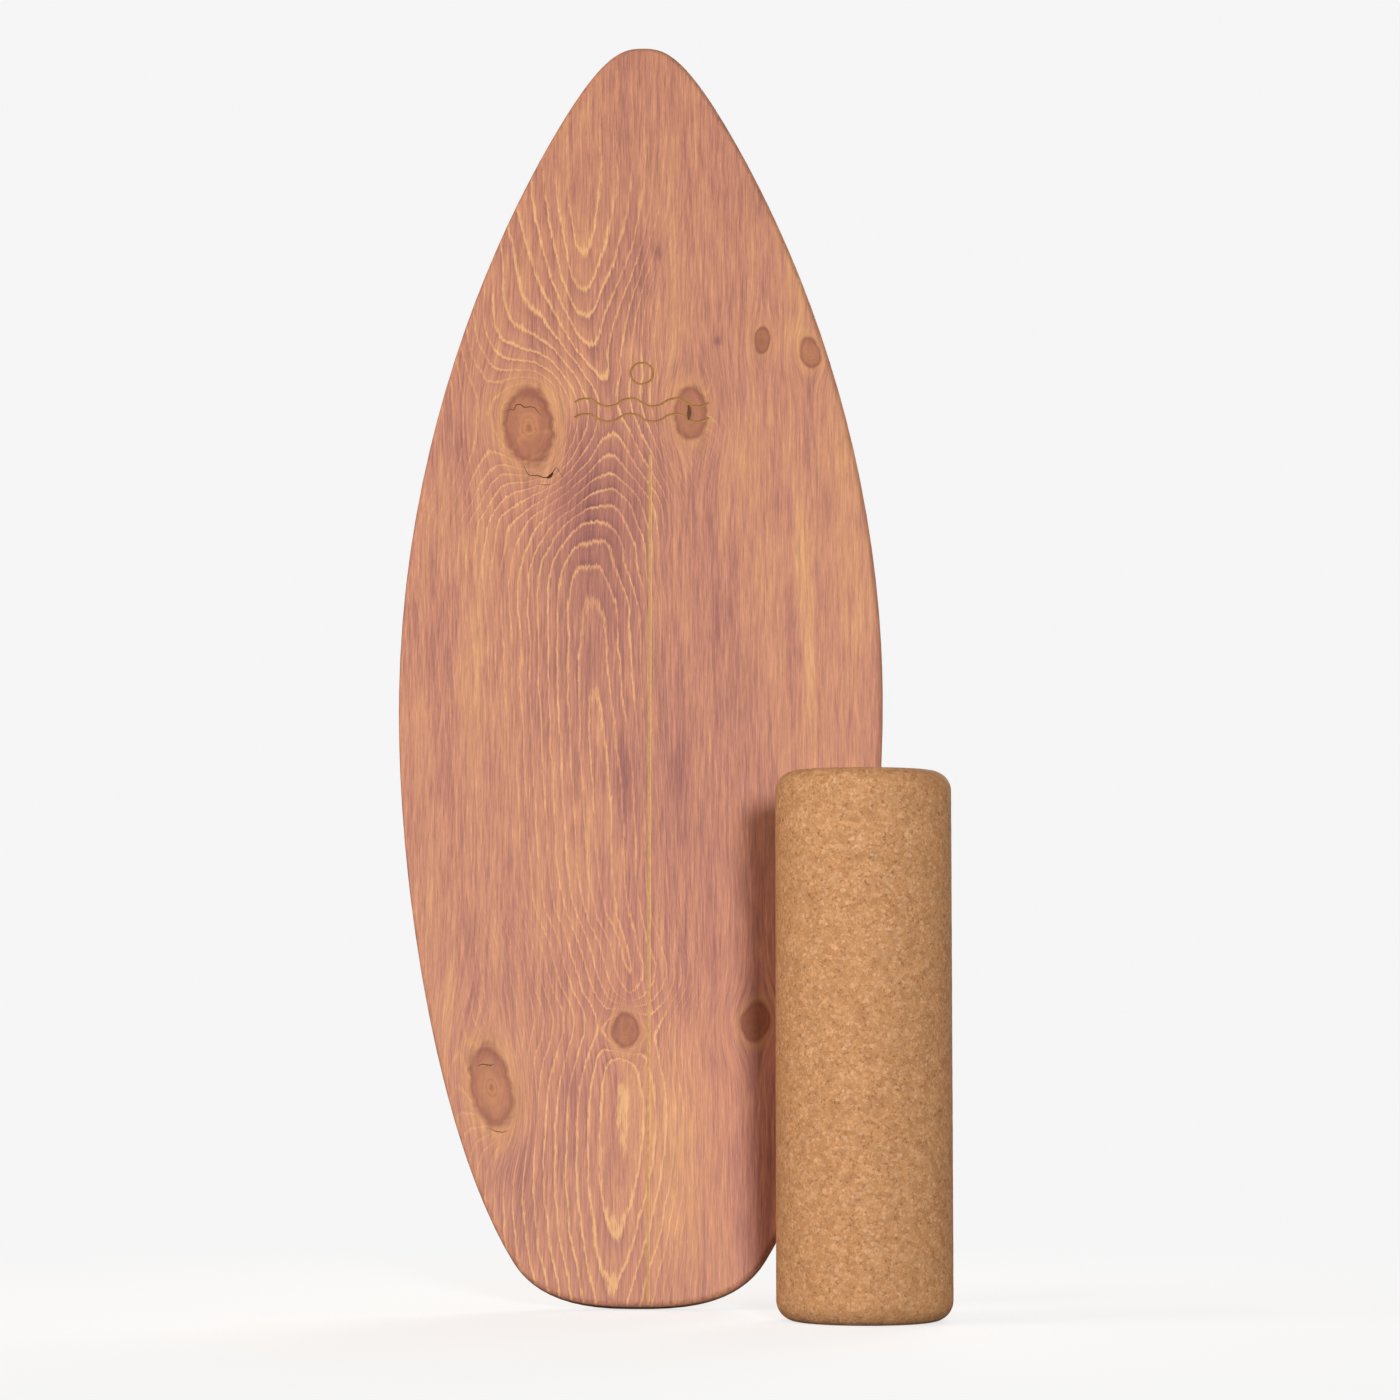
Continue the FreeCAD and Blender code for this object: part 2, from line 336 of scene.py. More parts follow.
# How far out the figure stays round before it turns into straight grain: (up, distance).
DECK_ROUND = ((0, 6), (60, 9.5), (90, 9.5), (130, 8), (150, 4), (200, 1), (300, 2), (350, 2.5), (400, 8),
              (440, 12), (456, 13.5), (472, 16), (484, 17), (500, 14), (515, 10), (527, 7.5), (542, 6),
              (580, 5), (600, 6), (660, 6.5), (700, 8), (800, 8))
# Ring spacing to the left and right of the middle: (distance, spacing).
DECK_LEFT = ((0, 6.5), (45, 6.5), (60, 5.2), (180, 5))
DECK_RIGHT = ((0, 7.5), (18, 7), (26, 4.5), (36, 3.6), (60, 3.0), (180, 2.8))
# How much that spacing opens or closes with the height: (up, times on the left, times on the right).
DECK_SPREAD = ((0, 1.0, 1.0), (520, 1.0, 1.0), (560, 1.04, 1.0), (605, 0.95, 1.05), (640, 0.88, 1.1),
               (700, 0.9, 1.35), (800, 1.0, 1.35))
# How plainly the latewood lines show: (up, share).
DECK_CLEAR = ((0, 1.3), (90, 1.4), (140, 1.15), (190, 1.0), (215, 0.85), (240, 0.8), (270, 0.9),
              (350, 0.95), (690, 1.0), (735, 0.45), (800, 0.35))
# Where the veneer drank less stain (+) or more (-), nose to tail, and two patches of painted light:
# the one at (130, 480) is a painted highlight along the right edge, and the one at (74, 90) is the
# roller's shadow painted on the deck's lower right. (across, up, half width, half height, share).
DECK_PATCHES = ((-32, 776, 2, 16, 0.18), (-23, 776, 2, 16, 0.12), (-14, 770, 12, 30, -0.06),
                (-37, 752, 6, 13, 0.15), (-50, 675, 24, 26, 0.08), (10, 661, 1.8, 4.5, -0.28),
                (98, 660, 9, 60, 0.14), (2, 655, 8, 22, -0.10), (-2, 641, 2, 4, -0.22),
                (20, 630, 7, 70, 0.08), (-85, 620, 12, 26, 0.12), (80, 606, 8, 15, 0.12),
                (99, 604, 8, 15, 0.16), (75.5, 603, 4.5, 8, -0.42), (47.5, 602.5, 2.2, 2.6, -0.38),
                (-45, 568, 12, 14, 0.14), (30.5, 555, 5, 12, -0.12), (-116, 540, 11, 20, -0.10),
                # (130, 480) on the next line: a painted highlight along the board's right edge.
                (62, 530, 12, 26, 0.10), (-25, 505, 34, 42, -0.22), (130, 480, 13, 115, 0.15),
                (99, 468, 3.5, 50, 0.34), (-28, 455, 26, 45, -0.14), (75, 450, 9, 60, 0.08),
                (45, 425, 9, 30, -0.10), (-100, 410, 9, 90, 0.14), (104, 400, 4, 45, 0.28),
                (-35, 395, 10, 18, -0.14), (-25.5, 352, 5, 12, 0.14), (15, 330, 40, 110, -0.09),
                (23, 325, 5, 20, -0.22), (-11, 322, 5, 30, -0.26), (-31, 308, 2.4, 34, 0.16),
                (-18.5, 306, 2.4, 30, 0.13), (-42, 290, 26, 50, 0.04), (62, 235, 28, 70, -0.10),
                (-44, 200, 8, 16, -0.10), (-118, 175, 9, 30, 0.12), (70, 171, 8, 12, -0.5),
                (-8.5, 165.5, 7, 9, -0.36), (-40, 130, 7, 16, -0.14), (-8, 122, 3, 19, 0.26),
                # (74, 90) on the next line: the roller's shadow, painted on the deck's lower right.
                (15, 105, 26, 50, 0.22), (74, 90, 12, 80, -0.20), (-76, 75, 20, 40, -0.05),
                (20, 40, 20, 30, 0.10))


def through(points, at):
    """A smooth curve through a few points: cubic Hermite spans whose slopes are central differences."""
    place = np.array([p[0] for p in points], float)
    value = np.array([p[1] for p in points], float)
    slope = np.gradient(value, place)
    k = np.clip(np.searchsorted(place, at) - 1, 0, len(place) - 2)
    width = place[k + 1] - place[k]
    t = np.clip((at - place[k]) / width, 0.0, 1.0)
    start = (2 * t ** 3 - 3 * t ** 2 + 1) * value[k] + (t ** 3 - 2 * t ** 2 + t) * width * slope[k]
    end = (3 * t ** 2 - 2 * t ** 3) * value[k + 1] + (t ** 3 - t ** 2) * width * slope[k + 1]
    return start + end


def rings_from_middle(spacing, distance):
    """Growth rings crossed on the way out from the middle: the integral of one over the spacing."""
    step = 0.25
    walk = np.arange(0.0, 320.0, step)
    local = np.interp(walk, [p[0] for p in spacing], [p[1] for p in spacing])
    crossed = np.concatenate([[0.0], np.cumsum(step / local)[:-1]])
    return np.interp(distance, walk, crossed)


def figure(x, up, knots, heart, crest, reach, roundness, left, right, spread, clear, patches):
    """The veneer's figure at points of the flat board: the growth ring count, the distance across
    that a fibre had before the knots pushed it aside, the nearest knot's squared radius, 1 at its rim,
    the share of stain shed, with the painted highlight and painted shadow patches added in, and how
    plainly lines show. Rings are counted outwards from the middle: the distance w, rounded off as the
    cube root of w cubed plus c cubed, less c, over the spacing. The crest curve lifts them near the
    middle, and each knot by a bell of its squared radius outside the rim."""
    straight = x.copy()
    knot = np.full_like(x, 99.0)
    lift = np.zeros_like(x)
    for knot_x, knot_up, wide, tall, lean, push in knots:
        turn = math.radians(lean)
        dx = x - knot_x
        dz = up - knot_up
        u = (dx * math.cos(turn) + dz * math.sin(turn)) / wide
        v = (dz * math.cos(turn) - dx * math.sin(turn)) / tall
        squared = u * u + v * v
        knot = np.minimum(knot, squared)
        straight -= dx * np.exp(-squared / KNOT_PUSH)
        lift += push * np.exp(-(np.maximum(squared, 1.0) - 1) / KNOT_LIFT)
    offset = x - through(heart, up)
    core = np.maximum(through(roundness, up), 0.5) * np.where(offset < 0, 1.0, 0.5)
    away = (np.abs(offset) ** 3 + core ** 3) ** (1 / 3) - core
    left_away = away / through([(p[0], p[1]) for p in spread], up)
    right_away = away / through([(p[0], p[2]) for p in spread], up)
    out = np.where(offset < 0, rings_from_middle(left, left_away), rings_from_middle(right, right_away))
    fade = np.where(offset < 0, (offset / through(reach, up)) ** 4, (offset / RIGHT_REACH) ** 8)
    rings = out + through(crest, up) / (1 + fade) + lift
    stain_and_painted_light = sum(share * np.exp(-((x - px) / wide) ** 2 - ((up - pz) / tall) ** 2)
               for px, pz, wide, tall, share in patches)
    plain = through(clear, up) / (1 + (offset / np.where(offset < 0, PLAIN_LEFT, PLAIN_RIGHT)) ** 4)
    return rings, straight, knot, stain_and_painted_light, plain


def flat_places(piece):
    """The vertices of a flat-drawn mesh: across, depth and up, in mm."""
    places = np.empty(len(piece.data.vertices) * 3, np.float32)
    piece.data.vertices.foreach_get("co", places)
    return places.reshape(-1, 3).astype(float)


def store_figure(piece, **veneer):
    """Writes the figure to the mesh: ring count, line clearness, knot radius squared, stain shed with the
    painted highlight and painted shadow patches, and the fibre coordinates (across before the knots'
    push, up, depth) in mm. Lines are clearer where the rings lie wide apart: a smooth step of the
    spacing from 2 to 7 mm."""
    x, depth, up = flat_places(piece).T
    rings, straight, knot, stain_and_painted_light, plain = figure(x, up, **veneer)
    nudge = 0.5
    across = figure(x + nudge, up, **veneer)[0] - figure(x - nudge, up, **veneer)[0]
    lengthwise = figure(x, up + nudge, **veneer)[0] - figure(x, up - nudge, **veneer)[0]
    spacing = 1 / np.maximum(np.hypot(across, lengthwise), 0.02)
    wide = np.clip((spacing - 2.0) / 5.0, 0.0, 1.0)
    clear = (0.22 + 0.78 * wide * wide * (3 - 2 * wide)) * plain
    for label, values in (("rings", rings), ("clear", clear), ("knot", knot), ("stain_and_painted_light", stain_and_painted_light)):
        piece.data.attributes.new(label, "FLOAT", "POINT").data.foreach_set("value", values)
    fibre = np.column_stack([straight, up, depth]).ravel()
    piece.data.attributes.new("fibre", "FLOAT_VECTOR", "POINT").data.foreach_set("vector", fibre)


SHARP_ANGLE = math.radians(35.0)            # edges that bend more than this stay crisp


def place_board_piece(piece):
    """Leans a flat-drawn piece back into its place and shades it smooth except at sharp edges."""
    piece.data.vertices.foreach_set("co", stand(flat_places(piece)).ravel())
    piece.data.update()
    piece.data.shade_smooth()
    piece.data.set_sharp_from_angle(angle=SHARP_ANGLE)


def linear(code):
    """An sRGB hex colour as linear RGBA, by the sRGB curve."""
    parts = [int(code[k:k + 2], 16) / 255 for k in (1, 3, 5)]
    return [c / 12.92 if c <= 0.04045 else ((c + 0.055) / 1.055) ** 2.4 for c in parts] + [1.0]


def add(tree, kind, inputs=None, ramp=None, **settings):
    """Adds a node. inputs maps a socket's name or number to a value, or to a node or socket to link
    from; ramp is a list of (position, colour or value) for a colour ramp."""
    made = tree.nodes.new("ShaderNode" + kind)
    for key, value in settings.items():
        setattr(made, key, value)
    for key, value in (inputs or {}).items():
        if isinstance(value, bpy.types.Node):
            value = value.outputs[0]
        if isinstance(value, bpy.types.NodeSocket):
            tree.links.new(value, made.inputs[key])
        else:
            made.inputs[key].default_value = value
    if ramp:
        elements = made.color_ramp.elements
        while len(elements) < len(ramp):
            elements.new(0.5)
        for element, (position, colour) in zip(elements, ramp):
            element.position = position
            element.color = linear(colour) if isinstance(colour, str) else [colour] * 3 + [1.0]
    return made


def new_material(name):
    """An empty node material with its Principled shader."""
    material = bpy.data.materials.new(name)
    material.use_nodes = True
    tree = material.node_tree
    return material, tree, tree.nodes["Principled BSDF"]


# From earlywood full of stain to bare latewood.
STAIN = [(0.0, "#855550"), (0.2, "#A1695E"), (0.4, "#B77B69"), (0.55, "#C98B70"),
         (0.7, "#D39871"), (0.85, "#DDA474"), (1.0, "#E6B27E")]
# From a knot's heart, through its rings, to past its rim.
KNOT_STAIN = [(0.0, "#9A5D41"), (0.06, "#A66849"), (0.13, "#C4865A"), (0.20, "#B47650"), (0.26, "#C1845D"),
              (0.34, "#B77957"), (0.48, "#B57757"), (0.60, "#AC6D53"), (0.72, "#975B45"), (0.80, "#9E624D"),
              (1.0, "#AD7158")]
DARK_KNOT = "#8E5238"
# Hardness across one ring: slow rise, latewood line in the middle, sudden drop.
RING_PROFILE = [(0.0, 0.30), (0.30, 0.27), (0.40, 0.42), (0.465, 0.95), (0.52, 1.0), (0.575, 0.45),
                (0.64, 0.12), (0.84, 0.24)]
PLAIN_SHARE = 0.53             # the share of wood with no streak and no line
LINE_WANDER = 0.45             # rings by which a line's edge wanders, both broadly and finely
FAINT_LINE = 0.45              # the strength of a line's faint stretches against its clear ones
KNOT_UNEVEN = 0.36             # how far out of round a knot is, in rims


def pine(name, line_strength, wood_ramp, knot_ramp, halo_colour):
    """Pine veneer. One share, from soft earlywood to hard latewood, picks the colour: it adds up fibre
    streaks 1, 3 and 9 mm wide, the veneer's light and dark patches (on the deck, a painted highlight
    and a painted shadow among them), and the latewood lines. Stain turns the share over: earlywood
    drinks it and goes mauve-brown, latewood sheds it and stays golden."""
    material, tree, shader = new_material(name)
    vector = add(tree, "Attribute", attribute_name="fibre").outputs["Vector"]
    rings = add(tree, "Attribute", attribute_name="rings").outputs["Fac"]
    clear = add(tree, "Attribute", attribute_name="clear").outputs["Fac"]
    knot = add(tree, "Attribute", attribute_name="knot").outputs["Fac"]
    stain_and_painted_light = add(tree, "Attribute", attribute_name="stain_and_painted_light").outputs["Fac"]

    def fibres(across, along, detail, roughness=0.55):
        scaled = add(tree, "Mapping", {"Vector": vector, "Scale": (1 / across, 1 / along, 1 / across)})
        return add(tree, "TexNoise", {"Vector": scaled, "Scale": 1.0, "Detail": detail,
                                      "Roughness": roughness})

    fine = fibres(0.65, 14, 2.0, 0.5)
    medium = fibres(1.8, 34, 2.0)
    grit = fibres(0.5, 4, 1.0)
    broad = fibres(6, 150, 2.0)
    cloud = fibres(32, 75, 2.0)
    streaks = ((fine, 0.45), (medium, 0.36), (broad, 0.5), (cloud, 0.25))
    # The patch share starts it: stain patches, and on the deck a painted highlight and a painted shadow.
    share = stain_and_painted_light
    for noise, weight in streaks:
        share = add(tree, "Math", {0: noise, 1: weight, 2: share}, operation="MULTIPLY_ADD")
    average = sum(weight for noise, weight in streaks) / 2
    share = add(tree, "Math", {0: share, 1: average - PLAIN_SHARE}, operation="SUBTRACT")

    # Latewood lines, a fifth of a ring wide. Their edges wander with the wood and follow its fibres.
    moved = add(tree, "Math", {0: fibres(11, 28, 1.0), 1: LINE_WANDER, 2: rings}, operation="MULTIPLY_ADD")
    moved = add(tree, "Math", {0: fibres(1.1, 8, 2.0), 1: LINE_WANDER, 2: moved}, operation="MULTIPLY_ADD")
    moved = add(tree, "Math", {0: moved, 1: 0.5 - LINE_WANDER}, operation="ADD")
    phase = add(tree, "Math", {0: moved}, operation="FRACT")
    line = add(tree, "ValToRGB", {0: phase}, ramp=RING_PROFILE)
    shown = add(tree, "MapRange", {0: fibres(22, 60, 2.0), 1: 0.36, 2: 0.62,
                                   3: FAINT_LINE * line_strength, 4: line_strength})
    strength = add(tree, "Math", {0: clear, 1: shown}, operation="MULTIPLY")
    raised = add(tree, "Math", {0: line, 1: RING_PROFILE[0][1]}, operation="SUBTRACT")
    share = add(tree, "Math", {0: raised, 1: strength, 2: share}, operation="MULTIPLY_ADD")
    wood = add(tree, "ValToRGB", {0: share}, ramp=wood_ramp)

    # Knots: dark soft rim, brown heart with fine rings, and a golden halo where the fibres part.
    radius = add(tree, "Math", {0: knot}, operation="SQRT")
    uneven = add(tree, "TexNoise", {"Vector": vector, "Scale": 1 / 7, "Detail": 2.0})
    radius = add(tree, "Math", {0: uneven, 1: KNOT_UNEVEN, 2: radius}, operation="MULTIPLY_ADD")
    radius = add(tree, "Math", {0: radius, 1: KNOT_UNEVEN / 2}, operation="SUBTRACT")
    halo = add(tree, "MapRange", {0: radius, 1: 1.0, 2: 1.7, 3: 0.72, 4: 0.0})
    tone = add(tree, "ValToRGB", {0: add(tree, "Math", {0: radius, 1: 0.8}, operation="MULTIPLY")},
               ramp=knot_ramp)
    darker = add(tree, "MapRange", {0: stain_and_painted_light, 1: 0.0, 2: -0.5, 3: 0.0, 4: 0.8})
    tone = add(tree, "Mix", {0: darker, 6: tone, 7: linear(DARK_KNOT)}, data_type="RGBA")
    grainy = add(tree, "Mix", {0: 0.14, 6: tone.outputs[2], 7: wood}, data_type="RGBA")
    inside = add(tree, "MapRange", {0: radius, 1: 0.86, 2: 1.16, 3: 1.0, 4: 0.0},
                 interpolation_type="SMOOTHSTEP")
    golden = add(tree, "Mix", {0: 0.6, 6: wood, 7: linear(halo_colour)}, data_type="RGBA")
    wood = add(tree, "Mix", {0: halo, 6: wood, 7: golden.outputs[2]}, data_type="RGBA")
    wood = add(tree, "Mix", {0: inside, 6: wood.outputs[2], 7: grainy.outputs[2]}, data_type="RGBA")
    dusk = add(tree, "Math", {0: fine, 1: 0.6, 2: medium}, operation="MULTIPLY_ADD")
    dusk = add(tree, "Math", {0: grit, 1: 0.6, 2: dusk}, operation="MULTIPLY_ADD")
    depth = add(tree, "MapRange", {0: dusk, 1: 0.7, 2: 1.5, 3: 0.82, 4: 1.18})
    wood = add(tree, "VectorMath", {0: wood.outputs[2], "Scale": depth}, operation="SCALE")
    tree.links.new(wood.outputs[0], shader.inputs["Base Color"])

    # Oiled, not varnished: satin, and the latewood stands a hair proud after sanding.
    gloss = add(tree, "MapRange", {0: fine, 1: 0.3, 2: 0.7, 3: 0.50, 4: 0.62})
    tree.links.new(gloss.outputs[0], shader.inputs["Roughness"])
    relief = add(tree, "Math", {0: raised, 1: 0.6, 2: fine}, operation="MULTIPLY_ADD")
    bump = add(tree, "Bump", {"Strength": 0.2, "Distance": 0.0003, "Height": relief})
    tree.links.new(bump.outputs[0], shader.inputs["Normal"])
    shader.inputs["IOR"].default_value = 1.45
    shader.inputs["Specular IOR Level"].default_value = 0.35
    return material


def cut_pine(name, dark, light):
    """Pine that a cutter has opened: fuzzy fibres, and no stain."""
    material, tree, shader = new_material(name)
    fibre = add(tree, "Attribute", attribute_name="fibre").outputs["Vector"]
    scaled = add(tree, "Mapping", {"Vector": fibre, "Scale": (1 / 0.6, 1 / 4, 1 / 0.6)})
    fuzz = add(tree, "TexNoise", {"Vector": scaled, "Scale": 1.0, "Detail": 3.0})
    colour = add(tree, "ValToRGB", {0: fuzz}, ramp=[(0.3, dark), (0.7, light)])
    tree.links.new(colour.outputs[0], shader.inputs["Base Color"])
    shader.inputs["Roughness"].default_value = 0.8
    return material


DECK = dict(knots=DECK_KNOTS, heart=DECK_HEART, crest=DECK_CREST, reach=DECK_REACH,
            roundness=DECK_ROUND, left=DECK_LEFT, right=DECK_RIGHT, spread=DECK_SPREAD,
            clear=DECK_CLEAR, patches=DECK_PATCHES)
stained = pine("red_brown_stained_pine", 0.72, STAIN, KNOT_STAIN, "#DDA466")
groove_wood = cut_pine("routed_bare_pine", "#CD9B64", "#E9C08C")
mark_wood = cut_pine("engraved_pine", "#A8763C", "#C08E50")
crack_wood = cut_pine("bark_lined_crack", "#4A2A1C", "#70452F")
deck = face_veneer("deck_veneer", True)
deck.data.materials.append(stained)
for slot in (groove_wood, mark_wood, crack_wood):
    deck.data.materials.append(slot)
cut(deck, [groove], groove_wood)
cut(deck, marks, mark_wood)
cut(deck, cracks, crack_wood)
weld(deck)
store_figure(deck, **DECK)
place_board_piece(deck)
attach(deck, "board")
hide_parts("deck_face_veneer")


# ---- Inner plies --------------------------------------------------------------------------------
# Five peeled pine sheets glued crosswise between the faces. Only their sawn and sanded edges show:
# end grain where the fibres meet the edge, which drinks oil and goes dark, and streaks where they
# run along it.


def ply_edge(name, fibre_along, dark, light, glue):
    """Edge of a ply, by its fibre length and width in mm along the flat board's three axes. The lean
    is taken out first, so that the fibres lie in the board's plane, not the room's."""
    material, tree, shader = new_material(name)
    place = add(tree, "TexCoord").outputs["Object"]
    streak = add(tree, "Mapping", {"Vector": place, "Rotation": (-LEAN, 0.0, 0.0),
                                   "Scale": [size * MM for size in fibre_along]}, vector_type="TEXTURE")
    fibre = add(tree, "TexNoise", {"Vector": streak, "Scale": 1.0, "Detail": 3.0, "Roughness": 0.6})
    patch = add(tree, "TexNoise", {"Vector": place, "Scale": 1 / (28 * MM), "Detail": 2.0})
    mixed = add(tree, "Math", {0: patch, 1: 0.5, 2: fibre}, operation="MULTIPLY_ADD")
    colour = add(tree, "ValToRGB", {0: mixed}, ramp=[(0.52, glue), (0.62, dark), (0.88, light)])
    tree.links.new(colour.outputs[0], shader.inputs["Base Color"])
    bump = add(tree, "Bump", {"Strength": 0.3, "Distance": 0.0003, "Height": fibre})
    tree.links.new(bump.outputs[0], shader.inputs["Normal"])
    shader.inputs["Roughness"].default_value = 0.68
    shader.inputs["Specular IOR Level"].default_value = 0.3
    return material


long_edge = ply_edge("sanded_long_grain_ply", (0.9, 0.9, 45.0), "#BE9165", "#D9B184", "#94683F")
cross_edge = ply_edge("sanded_end_grain_ply", (45.0, 0.7, 0.9), "#8F6243", "#B5875F", "#6A4429")
for node in ("deck_side_long_ply", "underside_long_ply"):
    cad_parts[node].data.materials[0] = long_edge
for node in ("deck_side_crossband", "core_crossband", "underside_crossband"):
    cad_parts[node].data.materials[0] = cross_edge


# ---- Underside face veneer ----------------------------------------------------------------------
# The sheet that rolls on the cork: peeled pine like the deck, left its own colour and oiled. The
# stops' screws go through it.

UNDER = dict(
    knots=((52, 470, 11, 17, -6, 3.0), (-38, 250, 8, 12, 5, 2.5), (84, 262, 5, 8, 0, 1.5)),
    heart=((0, 20), (200, 24), (420, 12), (600, 4), (800, -6)),
    crest=((0, -3), (120, 0), (260, 2.5), (400, 3.2), (520, 1.5), (650, -1.5), (800, -4)),
    reach=((0, 80), (800, 80)),
    roundness=((0, 8), (400, 3), (800, 9)),
    left=((0, 8), (60, 6), (180, 4.5)),
    right=((0, 8), (50, 5.5), (180, 4)),
    spread=((0, 1, 1), (800, 1, 1)),
    clear=((0, 0.9), (800, 0.9)),
    patches=((-60, 600, 30, 60, 0.06), (70, 150, 40, 50, -0.06)))
OILED = [(0.0, "#96663B"), (0.2, "#B3804D"), (0.4, "#C89862"), (0.55, "#D3A672"),
         (0.7, "#DCB382"), (0.85, "#E3BE91"), (1.0, "#E9C89E")]
KNOT_OILED = [(0.0, "#70452A"), (0.13, "#9A6A42"), (0.30, "#8A5A36"), (0.48, "#956540"), (0.72, "#7A4C2E"),
              (1.0, "#8E5E3A")]
SCREW_RADIUS = 2.0
BORE_SIDES = 24
SCREW_PLACES = ((690.0, 42.0), (80.0, 60.0))       # the stops' heights, and how far apart their screws are


def bore(x, up):
    """A screw's hole through the sheet, as a closed drum: a circle carried from below it to above."""
    turn = np.linspace(0.0, 2 * math.pi, BORE_SIDES + 1)[:-1]
    ring = np.column_stack([x + SCREW_RADIUS * np.cos(turn), 0 * turn, up + SCREW_RADIUS * np.sin(turn)])
    size = len(turn)
    low = ring + [0, BOARD_THICKNESS - 2 * PLY_THICKNESS, 0]
    high = ring + [0, BOARD_THICKNESS + 2, 0]
    k = np.arange(size)
    after = (k + 1) % size
    walls = np.stack([k, after, after + size, k + size], -1).tolist()
    return np.concatenate([low, high]), walls + [k.tolist(), (k + size).tolist()]


oiled = pine("oiled_pine", -0.55, OILED, KNOT_OILED, "#BE8A55")
underside = face_veneer("underside_veneer", False)
underside.data.materials.append(oiled)
cut(underside, [bore(side * pitch, height) for height, pitch in SCREW_PLACES for side in (-1, 0, 1)], oiled)
weld(underside)
store_figure(underside, **UNDER)
place_board_piece(underside)
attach(underside, "board")
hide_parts("underside_face_veneer")


# ---- Stops --------------------------------------------------------------------------------------
# Two beech battens across the underside that keep the roller from running out, planed, their outer
# edges rounded, and oiled.

beech, beech_tree, beech_shader = new_material("oiled_beech")
batten_place = add(beech_tree, "TexCoord").outputs["Object"]


def batten_grain(length, width, detail):
    """Noise drawn out along the batten, by its length and width in mm."""
    stretched = add(beech_tree, "Mapping", {"Vector": batten_place, "Rotation": (-LEAN, 0.0, 0.0),
                                            "Scale": (length * MM, width * MM, width * MM)},
                    vector_type="TEXTURE")
    return add(beech_tree, "TexNoise", {"Vector": stretched, "Scale": 1.0, "Detail": detail})


rings_seen = batten_grain(110, 5, 1.0)
pores = batten_grain(9, 0.45, 2.0)
flecks = batten_grain(2.4, 0.5, 0.0)
tone = add(beech_tree, "Math", {0: pores, 1: 0.6, 2: rings_seen}, operation="MULTIPLY_ADD")
beech_colour = add(beech_tree, "ValToRGB", {0: tone},
                   ramp=[(0.55, "#B5875D"), (0.75, "#C99D71"), (0.92, "#D7AF85"), (1.0, "#DFBB94")])
flecked = add(beech_tree, "MapRange", {0: flecks, 1: 0.64, 2: 0.70, 3: 0.0, 4: 0.6})
beech_mix = add(beech_tree, "Mix", {0: flecked, 6: beech_colour, 7: linear("#9C6C44")}, data_type="RGBA")
beech_tree.links.new(beech_mix.outputs[2], beech_shader.inputs["Base Color"])
beech_bump = add(beech_tree, "Bump", {"Strength": 0.15, "Distance": 0.0002, "Height": pores})
beech_tree.links.new(beech_bump.outputs[0], beech_shader.inputs["Normal"])
beech_shader.inputs["Roughness"].default_value = 0.52
beech_shader.inputs["Specular IOR Level"].default_value = 0.35
for node in ("nose_stop", "tail_stop"):
    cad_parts[node].data.materials[0] = beech


# ---- Stop screws --------------------------------------------------------------------------------
# Countersunk wood screws, cold-headed steel with yellow-passivated zinc: bright, faintly iridescent,
# and dulled in spots where the driver and the thumb have been.

zinc, zinc_tree, zinc_shader = new_material("yellow_zinc_steel")
zinc_place = add(zinc_tree, "TexCoord").outputs["Object"]
film = add(zinc_tree, "TexNoise", {"Vector": zinc_place, "Scale": 1 / (4 * MM), "Detail": 2.0})
film_colour = add(zinc_tree, "ValToRGB", {0: film},
                  ramp=[(0.3, "#B9A06A"), (0.5, "#CDB980"), (0.62, "#C9B4A0"), (0.75, "#D6C68E")])
zinc_tree.links.new(film_colour.outputs[0], zinc_shader.inputs["Base Color"])
dull = add(zinc_tree, "TexNoise", {"Vector": zinc_place, "Scale": 1 / (0.7 * MM), "Detail": 3.0})
zinc_rough = add(zinc_tree, "MapRange", {0: dull, 1: 0.35, 2: 0.65, 3: 0.24, 4: 0.42})
zinc_tree.links.new(zinc_rough.outputs[0], zinc_shader.inputs["Roughness"])
zinc_shader.inputs["Metallic"].default_value = 1.0
for node in ("nose_stop_screws", "tail_stop_screws"):
    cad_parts[node].data.materials[0] = zinc


# ---- Cork roller --------------------------------------------------------------------------------
# One block of agglomerated cork, granules pressed with a binder, turned round and sanded. The lathe
# cuts the granules flat and tears small pits between them.

ROLLER_LOW, ROLLER_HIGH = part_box("cork_roller")
ROLLER_RADIUS = (ROLLER_HIGH.x - ROLLER_LOW.x) / 2
ROLLER_LENGTH = ROLLER_HIGH.z - ROLLER_LOW.z
ROLLER_X = (ROLLER_HIGH.x + ROLLER_LOW.x) / 2
ROLLER_Y = (ROLLER_HIGH.y + ROLLER_LOW.y) / 2
ROLLER_RIM = 0.012
ROLLER_PITS = ((0.0045, 0.00010), (0.0022, 0.00008))   # lattice step and greatest depth, in metres


